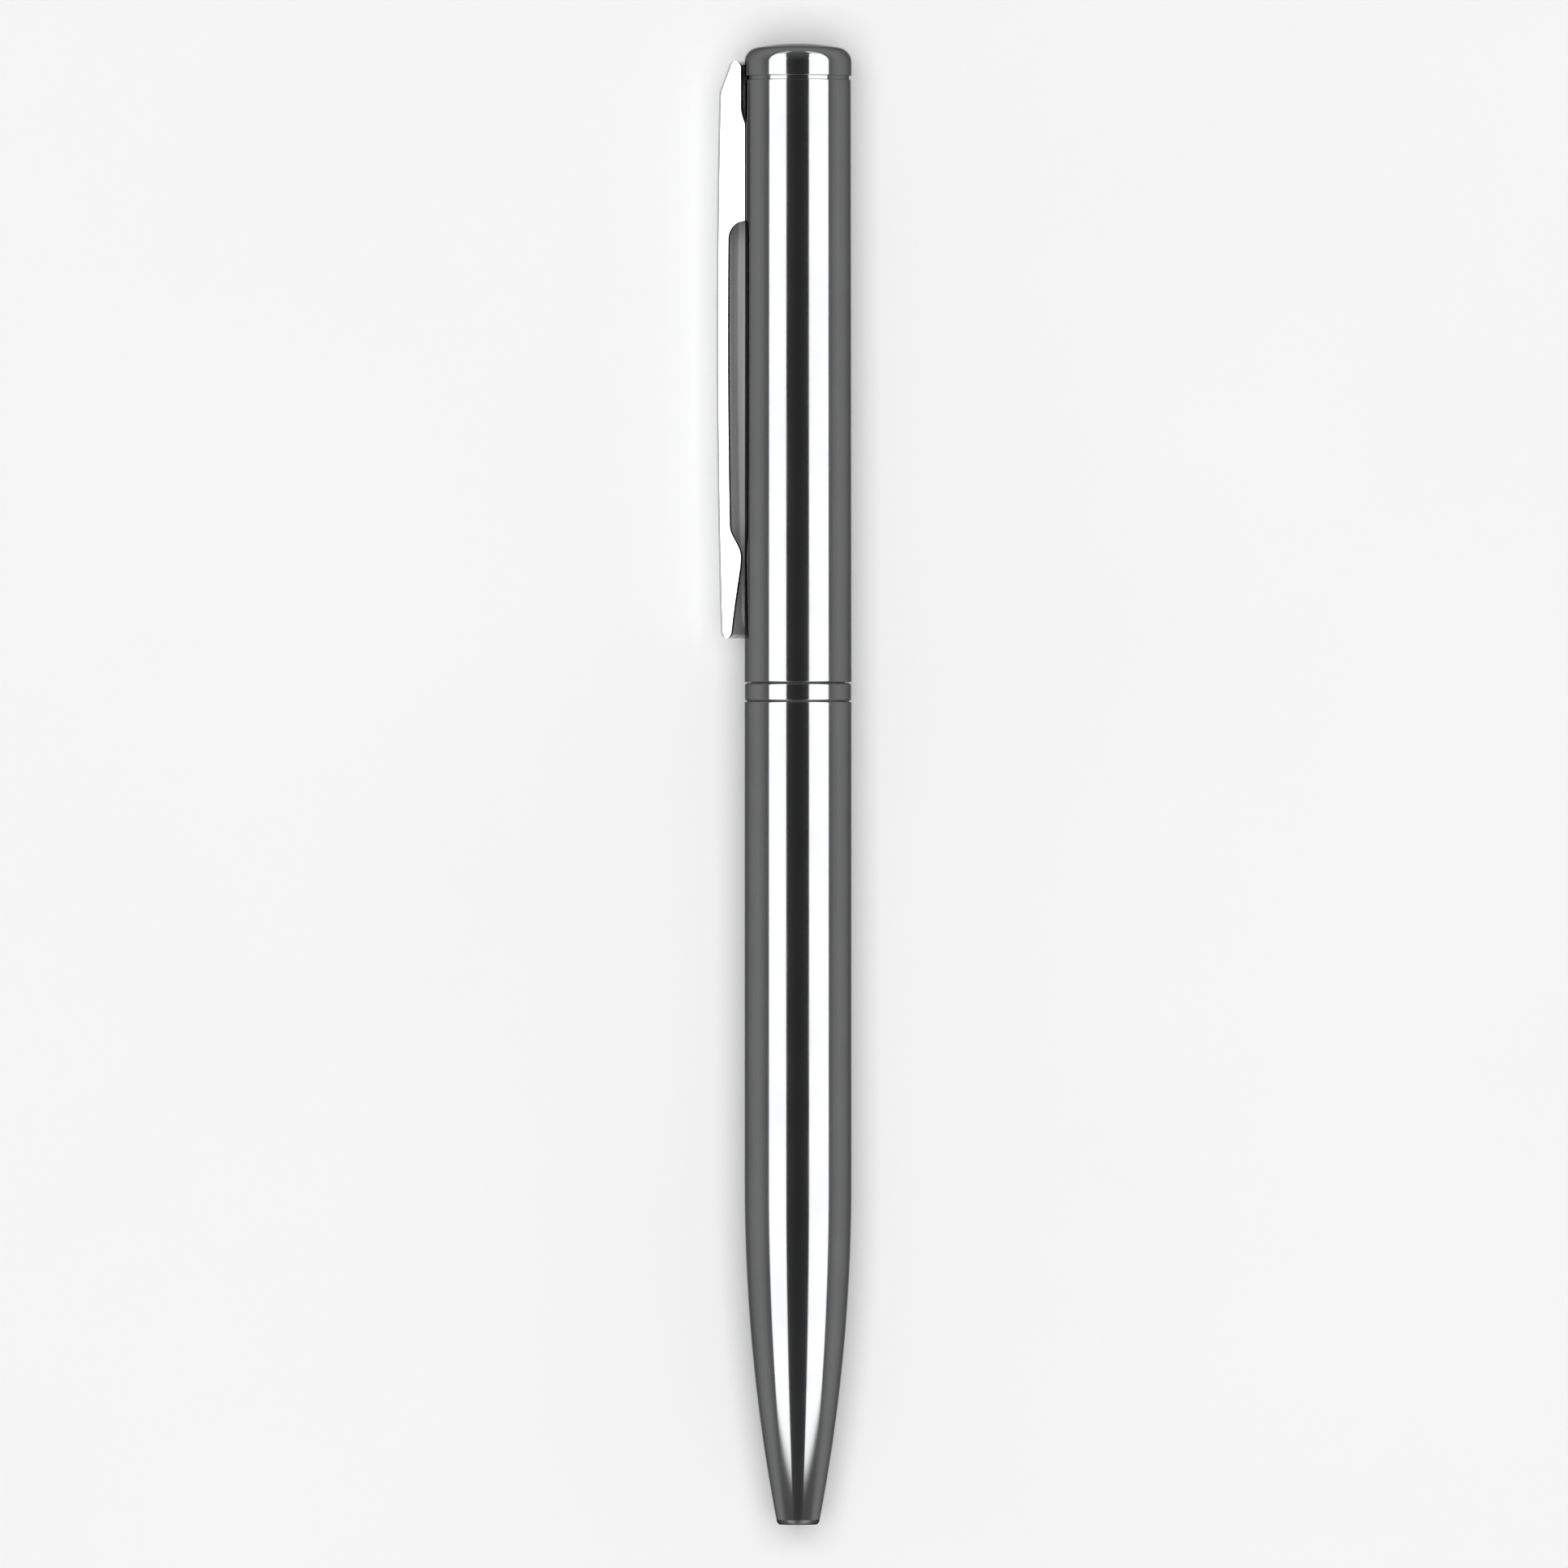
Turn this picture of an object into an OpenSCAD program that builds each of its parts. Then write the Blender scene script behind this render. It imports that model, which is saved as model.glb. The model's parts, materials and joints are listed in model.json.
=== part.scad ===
// Slim twist-action ballpoint pen with a short standard refill, lying on a table.
// Each piece is drawn along the pen's axis, with z counted from the nose mouth towards the finial
// and x pointing at the clip. The lay module then puts the pen down: +Y runs to the finial, +Z is
// up, and the pen has rolled until its clip touches the table on the -X side.

/* [Barrel] */
// Outer diameter of the barrels
barrel_d = 8; // [7.6:0.1:9]
// How much narrower the upper barrel is at its finial end
upper_taper = 0.1; // [0:0.05:0.2]
// Wall of both barrels
barrel_wall = 0.45; // [0.4:0.05:0.5]
// Length of the upper barrel
upper_len = 45; // [42:0.05:60]
// Length of the curved nose
nose_len = 25.5; // [18:0.5:34]
// Diameter that the nose narrows to at its mouth
nose_end_d = 3.1; // [3.1:0.05:3.8]
// Radius of the rounded lip at the mouth
nose_lip_r = 0.3; // [0.15:0.05:0.3]
// Length of the straight guide bore behind the mouth
nose_bore_len = 2.6; // [1:0.1:4]
// Bevel on the exposed ends of the barrels and the ring
edge = 0.08; // [0.05:0.01:0.15]

/* [Centre ring] */
// Height of the ring between the barrels
ring_h = 1.32; // [1:0.02:3]
// How much narrower the ring is than the barrels
ring_inset = 0.04; // [0:0.02:0.1]
// Height of the groove under the ring
ring_groove_h = 0.08; // [0.06:0.02:0.2]
// Depth of that groove and of the turning gap
ring_groove = 0.16; // [0.1:0.02:0.24]
// Gap that the upper barrel turns on, above the ring
turning_gap = 0.12; // [0.08:0.01:0.3]

/* [Finial] */
// Height of the finial's head
finial_h = 2.45; // [2:0.05:5]
// Height of the neck between the barrel and the head
finial_neck_h = 0.25; // [0.2:0.05:1]
// Depth of the groove that the neck leaves
finial_neck_depth = 0.12; // [0.05:0.01:0.3]
// Radius of the domed top
finial_dome_r = 15.7; // [8:0.1:40]
// Radius of the edge round the dome
finial_edge_r = 1.1; // [0.4:0.05:1.2]
// Length of the finial's plug in the barrel
finial_plug_len = 1.6; // [1:0.1:3]
// Diameter of the finial's centre stem
finial_stem_d = 2.9; // [2:0.1:3.2]
// Length of the finial's centre stem
finial_stem_len = 5; // [3:0.1:6]

/* [Clip] */
// Length of the clip from its top end to its tip
clip_len = 43.1; // [30:0.1:44]
// How far the clip's top end stands above the upper barrel
clip_over = 1.38; // [1:0.01:2.5]
// Width of the clip
clip_w = 4.2; // [3.4:0.1:4.6]
// Thickness of the sheet
clip_sheet = 0.3; // [0.25:0.05:0.35]
// Outer bend radius between the back and the sides
clip_bend_r = 0.35; // [0.35:0.05:0.6]
// Height of the clip's back above the barrel, at its crest
clip_stand = 1.84; // [1.6:0.02:3]
// Distance from the clip's top end down to the crest
clip_crest = 20.3; // [14:0.1:24]
// Radius of the bow along the clip's back
clip_bow_r = 720; // [650:10:2000]
// Distance from the clip's top end to the shoulder
clip_shoulder = 2.7; // [2.5:0.05:3.4]
// Slope of the shoulder
clip_shoulder_angle = 21; // [15:1:28]
// Outer radius of the shoulder's bend
clip_shoulder_r = 2; // [1.5:0.1:3]
// Depth of the sides along the free arm
clip_side = 1.08; // [0.9:0.02:1.4]
// Distance from the clip's top end to the edge that it rocks on
clip_rock = 4.7; // [4.4:0.02:5.4]
// Lift of the sides off the barrel above the rocking edge
clip_relief = 0.32; // [0.28:0.02:0.6]
// Length of the curve that leads to that lift
clip_relief_len = 1.3; // [1:0.1:2]
// Distance from the clip's top end to the end of the deep root
clip_root = 11.9; // [10:0.1:14]
// Length of the rounded step at the end of the root
clip_step = 1.4; // [0.8:0.1:2]
// Distance from the tip to the gripping bump
clip_bump = 6.1; // [5:0.1:9]
// Gap between the bump and the barrel
clip_bump_gap = 0.33; // [0.2:0.01:0.6]
// Length of the curve from the free arm to the bump
clip_bump_curve = 2.3; // [2:0.1:5]
// Curved share of the edge from the bump to the tip
clip_lead_curve = 0.2; // [0.1:0.05:0.5]
// Depth of the sides at the rounded tip
clip_tip_side = 0.94; // [0.7:0.02:1]
// Length of the rounding at both ends of the clip
clip_end_round = 0.55; // [0.3:0.05:0.8]

/* [Clip anchor] */
// Width of the hooked strip under the clip
anchor_w = 2.2; // [1.6:0.1:2.4]
// Thickness of the strip
anchor_t = 0.4; // [0.3:0.05:0.5]
// Length of the foot that is welded to the clip
anchor_foot = 4; // [2:0.1:5]
// Length of the hook inside the barrel
anchor_hook = 1.8; // [1.2:0.1:2]
// Distance from the rocking edge down to the strip's leg
anchor_below_rock = 1.1; // [0.9:0.05:1.4]
// Room round the strip where it passes the barrel wall
anchor_room = 0.15; // [0.12:0.01:0.25]
// Height of the bush that holds the anchor and the finial
bush_h = 7.6; // [7:0.1:9]

/* [Refill] */
// Length of the refill
refill_len = 67; // [60:0.5:75]
// Diameter of the refill
refill_d = 2.35; // [2.3:0.01:2.4]
// Wall of the refill tube
refill_wall = 0.28; // [0.2:0.02:0.35]
// Length of the refill's point in front of the tube
point_len = 7; // [5:0.1:9]
// Length of the cone that ends the point
point_cone_len = 3.9; // [3:0.1:4.5]
// Bevel between the cone and the body of the point
point_bevel = 0.1; // [0.05:0.01:0.2]
// Diameter of the point's rim round the ball
point_rim_d = 0.9; // [0.85:0.01:1]
// Length of the tail that plugs into the tube
point_tail_len = 3; // [2:0.1:4]
// Diameter of the writing ball
ball_d = 0.7; // [0.5:0.05:0.75]
// How far the ball stands out of the rim
ball_out = 0.2; // [0.1:0.01:0.25]
// Diameter of the ink feed in the point
feed_d = 0.5; // [0.3:0.05:0.6]
// Length of the ink column
ink_len = 45; // [20:1:50]

/* [Twist mechanism] */
// Depth of the ball inside the mouth when the point is in
point_recess = 0.6; // [0.3:0.05:1.5]
// Travel of the refill
travel = 5; // [4:0.1:5.5]
// Turn of the upper barrel over the whole travel
twist = 180; // [160:1:200]
// Distance from the joint of the barrels to the refill's back end
joint_below_refill_end = 6.16; // [5:0.02:7]
// Wall of the follower round the refill
follower_wall = 0.71; // [0.6:0.01:0.75]
// Depth of the refill in the follower
socket_len = 7; // [5:0.1:8]
// Distance from the refill's back end to the drive pin
pin_above_refill = 4.4; // [4:0.1:6]
// Diameter of the drive pin
pin_d = 1; // [0.8:0.05:1]
// Wall of the guide tube
guide_wall = 0.5; // [0.4:0.02:0.54]
// Wall of the cam sleeve
cam_wall = 0.55; // [0.5:0.02:0.6]
// Distance that the cam sleeve reaches above the drive pin
cam_above_pin = 7; // [6.5:0.1:9]
// Distance from the end of the slots to the step that the retaining ring holds
step_above_slot = 2.3; // [1:0.1:2.5]
// Length of the guide tube beyond the retaining ring
guide_end = 0.6; // [0.4:0.1:1]
// Length of the follower beyond the drive pin
follower_end = 1.9; // [1:0.1:3]
// Width of the slit in the follower's socket
slit_w = 0.3; // [0.2:0.05:0.5]
// Length of that slit
slit_len = 5; // [3:0.1:5]
// Thickness of the retaining ring
circlip_t = 0.5; // [0.4:0.05:0.7]
// Opening of the retaining ring
circlip_gap = 70; // [40:5:90]
// Thickness of the bearing washer
washer_t = 0.28; // [0.2:0.02:0.4]
// Thickness of the mechanism cap's rim
cap_rim_h = 0.6; // [0.4:0.1:1]
// Length of the mechanism cap's plug
cap_plug_len = 1.8; // [1:0.1:2]
// Distance from the bearing washer up to the liner
liner_inset = 0.3; // [0.2:0.1:2]
// Length of the liner's stop above the mechanism
liner_stop_h = 2.3; // [1.5:0.1:4]
// Length of the threaded insert in the lower barrel
insert_len = 11; // [10:0.1:14]
// Wall of the threaded insert
insert_wall = 0.62; // [0.5:0.02:0.64]
// Length of the nipple's threaded shank
nipple_len = 8.6; // [7:0.1:9.5]
// Height of the nipple's rim in the ring
nipple_rim_h = 0.45; // [0.3:0.05:0.6]
// Thickness of the flange that ends the guide tube
guide_flange_h = 0.6; // [0.4:0.1:1]

/* [Clearances] */
// Radial clearance of pieces that turn or slide in each other
run = 0.05; // [0.03:0.01:0.06]
// Clearance of pieces that are pushed or screwed together
seat = 0.02; // [0.01:0.01:0.03]
// Clearance of the drive pin in its slots
pin_room = 0.1; // [0.08:0.01:0.15]
// Clearance of the refill in the nose bore
nose_room = 0.075; // [0.05:0.005:0.1]
// Clearance of the ball in its socket
ball_room = 0.02; // [0.01:0.005:0.03]
// Clearance of the clip's sides over the barrel
saddle_room = 0.04; // [0.03:0.01:0.08]

/* [Hidden] */
$fn = 96;
// How far a cut passes the face that it opens
over = 0.01;

// Heights along the axis, from the nose mouth
barrel_r = barrel_d / 2;
ring_r = (barrel_d - ring_inset) / 2;
upper_top_r = (barrel_d - upper_taper) / 2;
refill_back = point_recess + refill_len;
lower_top = refill_back - joint_below_refill_end;
ring_low = lower_top + seat;
ring_top = ring_low + ring_h;
upper_low = ring_top + turning_gap;
upper_top = upper_low + upper_len;
finial_low = upper_top + finial_neck_h;
pen_len = finial_low + finial_h;

// Radii of the nested pieces, from the refill out
bore_r = barrel_r - barrel_wall;
refill_r = refill_d / 2;
follower_bore_r = refill_r + seat;
follower_r = follower_bore_r + follower_wall;
guide_in = follower_r + run;
guide_r = guide_in + guide_wall;
cam_in = guide_r + run;
cam_r = cam_in + cam_wall;
step_r = cam_in + cam_wall / 2;
groove_r = guide_r - guide_wall / 2;
liner_in = cam_r + seat;
liner_r = bore_r - seat;
insert_r = bore_r - seat;
insert_in = insert_r - insert_wall;
nipple_r = insert_in - seat;
nipple_in = guide_r + seat;
nose_bore_r = refill_r + nose_room;

// Curve of the nose: one arc, tangent to the barrel
nose_drop = barrel_r - nose_end_d / 2;
nose_arc_r = (nose_len * nose_len + nose_drop * nose_drop) / (2 * nose_drop);
lip_out = barrel_r - nose_arc_r + sqrt(pow(nose_arc_r, 2) - pow(nose_len - nose_lip_r, 2));
cavity_r = nose_arc_r - barrel_wall;

// Twist mechanism
follower_low = refill_back - socket_len;
pin_s = refill_back + pin_above_refill;
pin_r = pin_d / 2;
slot_end = pin_r + pin_room;
slot_low = pin_s - travel - slot_end;
slot_top = pin_s + slot_end;
cam_low = ring_top + washer_t + 2 * run;
cam_top = pin_s + cam_above_pin;
cam_step = slot_top + step_above_slot;
circlip_low = cam_step + 2 * run;
guide_top = circlip_low + circlip_t + guide_end;
guide_low = lower_top - nipple_len - guide_flange_h - seat;
liner_low = ring_top + seat + washer_t + liner_inset;
liner_stop = cam_top + cap_rim_h + 2 * seat;
cam_slope = travel / (twist * PI / 180);
cam_arc = 2 * slot_end / (cam_slope * cos(atan(cam_slope / cam_in)));

// Point of the refill
point_tip = point_recess + ball_out;
point_back = point_recess + point_len;
ball_s = point_recess + ball_d / 2;
tube_in = refill_r - refill_wall;
tail_r = tube_in - seat;

// Clip: heights and levels. A level is a distance from the pen's axis.
function across(a) = [cos(a), sin(a)];
function along(a) = [-sin(a), cos(a)];
clip_top = upper_top + clip_over;
clip_tip = clip_top - clip_len;
crest_s = clip_top - clip_crest;
crest_u = barrel_r + clip_stand;
rock_s = clip_top - clip_rock;
root_s = clip_top - clip_root;
bump_s = clip_tip + clip_bump;
shoulder_s = clip_top - clip_shoulder;
bow_c = [crest_u - clip_bow_r, crest_s];
tip_turn = asin((clip_tip - crest_s) / clip_bow_r);
shoulder_turn = asin((shoulder_s - crest_s) / clip_bow_r);
shoulder_c = bow_c + (clip_bow_r - clip_shoulder_r) * across(shoulder_turn);
slope = shoulder_turn + clip_shoulder_angle;
side_u = sqrt(pow(barrel_r, 2) - pow(clip_w / 2, 2));
bump_u = side_u + clip_bump_gap;
relief_u = side_u + clip_relief;
function upper_r(s) = barrel_r + (upper_top_r - barrel_r) * (s - upper_low) / upper_len;
saddle_r = max(upper_r(root_s - clip_step), upper_r(upper_top)) + saddle_room;

// Anchor: the leg's upper face, and the hook's outer face inside the barrel
leg_top = rock_s - anchor_below_rock;
hook_u = sqrt(pow(bore_r, 2) - pow(anchor_w / 2, 2)) - anchor_room;

// Way the pen lies: rolled until the clip's lower corner meets the table
corner_u = crest_u - clip_bend_r;
corner_t = clip_w / 2 - clip_bend_r;
lay_angle = asin((barrel_r - clip_bend_r) / norm([corner_u, corner_t])) - atan2(corner_t, corner_u);
clip_reach = corner_u * cos(lay_angle) + corner_t * sin(lay_angle) + clip_bend_r;
axis_x = (clip_reach - barrel_r) / 2;

// Sizes that the record repeats
echo(pen_len = pen_len, axis_x = axis_x, lay_angle = lay_angle, upper_low = upper_low, pin_s = pin_s);
echo(rock_s = rock_s, side_u = side_u, ball_s = ball_s, lower_top = lower_top, clip_reach = clip_reach);

// Puts a piece drawn along the pen's axis down on the table
module lay() {
  translate([axis_x, -pen_len / 2, barrel_r]) rotate([-90, 0, 0]) rotate([0, 0, 180 - lay_angle]) children();
}

// Plain round tube or, with no bore, a rod
module tube(outer, inner, low, top) {
  difference() {
    translate([0, 0, low]) cylinder(r = outer, h = top - low);
    if (inner > 0) translate([0, 0, low - over]) cylinder(r = inner, h = top - low + 2 * over);
  }
}

// Block from one corner to the other
module block(low, high) {
  translate(low) cube(high - low);
}

// Section of the nose and lower barrel: outer outline
module lower_outline() {
  translate([0, nose_len]) square([barrel_r, lower_top - edge - nose_len]);
  polygon([
    [0, lower_top - edge], [barrel_r, lower_top - edge], [barrel_r - edge, lower_top], [0, lower_top]
  ]);
  intersection() {
    translate([barrel_r - nose_arc_r, nose_len]) circle(r = nose_arc_r, $fn = 720);
    translate([0, nose_lip_r]) square([barrel_r, nose_len - nose_lip_r]);
  }
  square([lip_out - nose_lip_r, nose_lip_r]);
  intersection() {
    translate([lip_out - nose_lip_r, nose_lip_r]) circle(r = nose_lip_r);
    square([lip_out, nose_lip_r]);
  }
}

// Section of the space inside the lower barrel
module lower_cavity() {
  translate([0, -over]) square([nose_bore_r, nose_bore_len + 2 * over]);
  translate([0, nose_len]) square([bore_r, lower_top - nose_len + over]);
  intersection() {
    translate([barrel_r - nose_arc_r, nose_len]) circle(r = cavity_r, $fn = 720);
    translate([0, nose_bore_len]) square([barrel_r, nose_len - nose_bore_len]);
  }
}

module lower_barrel() {
  color("dimgray") lay() rotate_extrude() difference() {
    lower_outline();
    lower_cavity();
  }
}

// Brass bush in the lower barrel that the nipple screws into
module lower_insert() {
  color("goldenrod") lay() tube(insert_r, insert_in, lower_top - insert_len, lower_top);
}

// Ring with a counterbore that the nipple's rim clamps
module centre_ring() {
  rim_s = ring_top - nipple_rim_h - seat;
  foot_r = ring_r - ring_groove;
  band_low = ring_low + ring_groove_h;
  shoulder_top = upper_low - run;
  color("gray") lay() rotate_extrude() polygon([
    [nipple_r + seat, ring_low], [foot_r, ring_low], [foot_r, band_low],
    [ring_r - edge, band_low], [ring_r, band_low + edge],
    [ring_r, ring_top - edge], [ring_r - edge, ring_top],
    [foot_r, ring_top], [foot_r, shoulder_top], [bore_r, shoulder_top],
    [bore_r, rim_s], [nipple_r + seat, rim_s]
  ]);
}

// Turned nipple: threaded shank below, rim in the centre ring above
module nipple() {
  color("goldenrod") lay() difference() {
    union() {
      tube(nipple_r, 0, lower_top - nipple_len, ring_top);
      tube(bore_r - seat, 0, ring_top - nipple_rim_h, ring_top);
    }
    translate([0, 0, lower_top - nipple_len - over]) cylinder(r = nipple_in, h = nipple_len + 2 * ring_h);
  }
}

// Fixed tube with two straight slots that keep the drive pin from turning
module guide_tube() {
  color("khaki") lay() difference() {
    union() {
      tube(guide_r, 0, guide_low, guide_top);
      tube(nipple_r - run, 0, guide_low, guide_low + guide_flange_h);
    }
    translate([0, 0, guide_low - over]) cylinder(r = guide_in, h = guide_top - guide_low + 2 * over);
    for (s = [slot_low + slot_end, slot_top - slot_end]) {
      translate([0, 0, s]) rotate([0, 90, 0]) cylinder(r = slot_end, h = 2 * barrel_r, center = true);
    }
    block([-barrel_r, -slot_end, slot_low + slot_end], [barrel_r, slot_end, slot_top - slot_end]);
    tube(cam_r, groove_r, circlip_low - seat, circlip_low + circlip_t + seat);
  }
}

// Plastic washer that the cam sleeve turns on and that centres the upper barrel
module bearing_washer() {
  color("dimgray") lay() tube(bore_r - run, cam_in, ring_top + seat, ring_top + seat + washer_t);
}

// Open ring in the guide tube's groove, which holds the cam sleeve down
module retaining_ring() {
  color("silver") lay() rotate([0, 0, circlip_gap / 2]) rotate_extrude(angle = 360 - circlip_gap)
    translate([groove_r + seat, circlip_low]) square([step_r - run - groove_r - seat, circlip_t]);
}

module upper_barrel() {
  color("dimgray") lay() difference() {
    rotate_extrude() polygon([
      [bore_r, upper_low], [barrel_r - edge, upper_low], [barrel_r, upper_low + edge],
      [upper_top_r, upper_top - edge], [upper_top_r - edge, upper_top], [bore_r, upper_top]
    ]);
    anchor_space(bore_r - barrel_wall, leg_top);
  }
}

// Plastic sleeve between the cam sleeve and the upper barrel, with a stop above the mechanism
module upper_liner() {
  color("ivory") lay() difference() {
    tube(liner_r, guide_in, liner_low, liner_stop + liner_stop_h);
    translate([0, 0, liner_low - over]) cylinder(r = liner_in, h = liner_stop - liner_low + over);
  }
}

// Outline of one helical slot, square to the axis
module cam_sector() {
  half = cam_arc * 90 / PI;
  low = cam_in - cam_wall;
  top = cam_r + cam_wall;
  polygon([for (p = [[low, -half], [top, -half], [top, half], [low, half]])
    p[0] * [cos(p[1]), sin(p[1])]]);
}

// Rotating sleeve whose two helical slots push the drive pin along the guide tube
module cam_sleeve() {
  turn = (slot_top - slot_low) * twist / travel;
  first = (pin_s - slot_low) * twist / travel;
  color("goldenrod") lay() difference() {
    tube(cam_r, cam_in, cam_low, cam_top);
    translate([0, 0, cam_step]) cylinder(r = step_r, h = cam_top - cam_step + over);
    for (side = [0, 180]) {
      translate([0, 0, slot_low]) rotate([0, 0, first + side])
        linear_extrude(height = slot_top - slot_low, twist = turn, slices = 36, $fn = 8) cam_sector();
    }
  }
}

// Plug that closes the cam sleeve
module mechanism_cap() {
  color("ivory") lay() {
    tube(cam_r, 0, cam_top + seat, cam_top + seat + cap_rim_h);
    tube(step_r - seat, 0, cam_top - cap_plug_len, cam_top + seat + over);
  }
}

// Space that the clip's anchor needs, from a level out through the barrel wall
module anchor_space(level, top) {
  half = anchor_w / 2 + anchor_room;
  block([level, -half, leg_top - anchor_hook], [crest_u, half, top + anchor_room]);
}

// Plug inside the upper barrel: it takes the finial's stem and has a pocket for the anchor's hook
module clip_bush() {
  top = upper_top - finial_plug_len - seat;
  color("ivory") lay() difference() {
    tube(liner_r, finial_stem_d / 2 + seat, top - bush_h, top);
    anchor_space(hook_u - anchor_t - anchor_room, leg_top - anchor_t + anchor_hook);
  }
}

// Centres of the finial's dome and edge, from its top, and the angle at which they join
dome_c = finial_edge_r - finial_dome_r;
edge_c = sqrt(pow(dome_c, 2) - pow(barrel_r - finial_edge_r, 2)) - finial_dome_r;
edge_join = atan2(barrel_r - finial_edge_r, edge_c + finial_dome_r);

// Head with a shallow dome and a rounded edge, a neck, a plug and a centre stem
module finial() {
  steps = 8;
  color("gray") lay() rotate_extrude() polygon(concat(
    [[0, upper_top - finial_plug_len - finial_stem_len],
     [finial_stem_d / 2, upper_top - finial_plug_len - finial_stem_len],
     [finial_stem_d / 2, upper_top - finial_plug_len], [liner_r, upper_top - finial_plug_len],
     [liner_r, upper_top], [upper_top_r - finial_neck_depth, upper_top],
     [upper_top_r - finial_neck_depth, finial_low], [barrel_r - edge / 2, finial_low],
     [barrel_r, finial_low + edge / 2]],
    [for (i = [0:steps]) let (a = 90 - i * (90 - edge_join) / steps)
      [barrel_r - finial_edge_r + finial_edge_r * sin(a), pen_len + edge_c + finial_edge_r * cos(a)]],
    [for (i = [1:steps]) let (a = edge_join * (1 - i / steps))
      [finial_dome_r * sin(a), pen_len - finial_dome_r + finial_dome_r * cos(a)]]
  ));
}

// Level of the clip's back at a height on the bow, and on the straight shoulder
function back_u(s) = bow_c[0] + sqrt(pow(clip_bow_r, 2) - pow(s - crest_s, 2));
function shoulder_u(s) = shoulder_c[0] + clip_shoulder_r / cos(slope) - (s - shoulder_c[1]) * tan(slope);

// Level of the cut edge of the clip's sides at a height
function arm_u(s) = back_u(s) - clip_side;
function ease(x) = (1 - cos(180 * x)) / 2;
function soft_start(x, k) = (x < k ? x * x / (2 * k) : x - k / 2) / (1 - k / 2);
function step_u(s) = side_u + (arm_u(s) - side_u) * sqrt(max(0, 1 - pow((s - root_s) / clip_step + 1, 2)));
function lead_u(s) = bump_u + (back_u(s) - clip_tip_side - bump_u)
  * soft_start((bump_s - s) / clip_bump, clip_lead_curve);
function side_edge(s) =
  s > rock_s + clip_relief_len ? relief_u :
  s > rock_s ? side_u + clip_relief * sin(90 * (s - rock_s) / clip_relief_len) :
  s > root_s ? side_u - clip_sheet :
  s > root_s - clip_step ? step_u(s) :
  s > bump_s + clip_bump_curve ? arm_u(s) :
  s > bump_s ? bump_u + (arm_u(s) - bump_u) * ease((s - bump_s) / clip_bump_curve) :
  lead_u(s);

// Heights of the points on that edge, from the tip to the top end
edge_points = concat(
  [for (i = [0:10]) clip_tip + clip_end_round + i * (clip_bump - clip_end_round) / 10],
  [for (i = [1:14]) bump_s + i * clip_bump_curve / 14],
  [for (i = [1:4]) bump_s + clip_bump_curve + i * (root_s - clip_step - bump_s - clip_bump_curve) / 4],
  [for (i = [1:12]) root_s - clip_step * cos(90 * i / 12)],
  [root_s + over, rock_s],
  [for (i = [1:8]) rock_s + i * clip_relief_len / 8]
);

// Half ellipse that rounds an end of the clip, between two levels, towards the given direction
function end_round(s, from, to, way) = [for (a = [0:15:180])
  [(from + to) / 2 + (from - to) / 2 * cos(a), s + way * clip_end_round * sin(a)]];

// Outline of the clip seen from the side, left open above its back
module side_outline() {
  top_s = clip_top - clip_end_round;
  tip_s = clip_tip + clip_end_round;
  outside = crest_u + clip_sheet;
  polygon(concat(
    [for (s = edge_points) [side_edge(s), s]],
    end_round(top_s, relief_u, shoulder_u(top_s) + over, 1),
    [[outside, top_s], [outside, tip_s]],
    end_round(tip_s, back_u(tip_s) + over, side_edge(tip_s), -1)
  ));
}

// Section across the clip, filled, with its two bends in short flats, and with its back at x = 0
module clip_section() {
  flats = 5;
  polygon(concat(
    [[-clip_len, -clip_w / 2]],
    [for (i = [0:flats]) [-clip_bend_r, -corner_t] + clip_bend_r * along(90 * i / flats - 180)],
    [for (i = [0:flats]) [-clip_bend_r, corner_t] + clip_bend_r * across(90 * i / flats)],
    [[-clip_len, clip_w / 2]]
  ));
}

// Long bar of that section, whose back touches a bend of the clip at the given turn
module clip_bar(centre, radius, turn) {
  at = centre + radius * across(turn);
  translate([at[0], 0, at[1]]) rotate([0, -turn, 0])
    linear_extrude(height = 2 * clip_len, center = true) clip_section();
}

// Turns at which the bars touch the bow and the shoulder's bend
bow_turns = [for (i = [0:6]) tip_turn + i * (shoulder_turn - tip_turn) / 6];
bend_turns = [for (i = [1:4]) shoulder_turn + i * clip_shoulder_angle / 4];

// Filled clip: what all the bars share
module clip_blank() {
  intersection() {
    intersection_for (turn = bow_turns) clip_bar(bow_c, clip_bow_r, turn);
    intersection_for (turn = bend_turns) clip_bar(shoulder_c, clip_shoulder_r, turn);
  }
}

// Points one sheet under the clip's back, from below the tip to above the top end
function under_back() = concat(
  [[back_u(clip_tip) - clip_sheet, clip_tip - clip_over]],
  [for (turn = bow_turns) bow_c + (clip_bow_r - clip_sheet) * across(turn)],
  [for (turn = bend_turns) shoulder_c + (clip_shoulder_r - clip_sheet) * across(turn)],
  [shoulder_c + (clip_shoulder_r - clip_sheet) * across(slope) + 2 * clip_shoulder * along(slope)]
);

// Stamped channel clip: the blank cut to the side outline, hollowed, and fitted over the barrel
module clip() {
  color("gray") lay() difference() {
    intersection() {
      clip_blank();
      rotate([90, 0, 0]) linear_extrude(height = 2 * clip_w, center = true) side_outline();
    }
    rotate([90, 0, 0]) linear_extrude(height = clip_w - 2 * clip_sheet, center = true)
      polygon(concat(under_back(), [[0, clip_top + clip_over], [0, clip_tip - clip_over]]));
    translate([0, 0, root_s - clip_step]) cylinder(r = saddle_r, h = clip_root + clip_step);
  }
}

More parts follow.
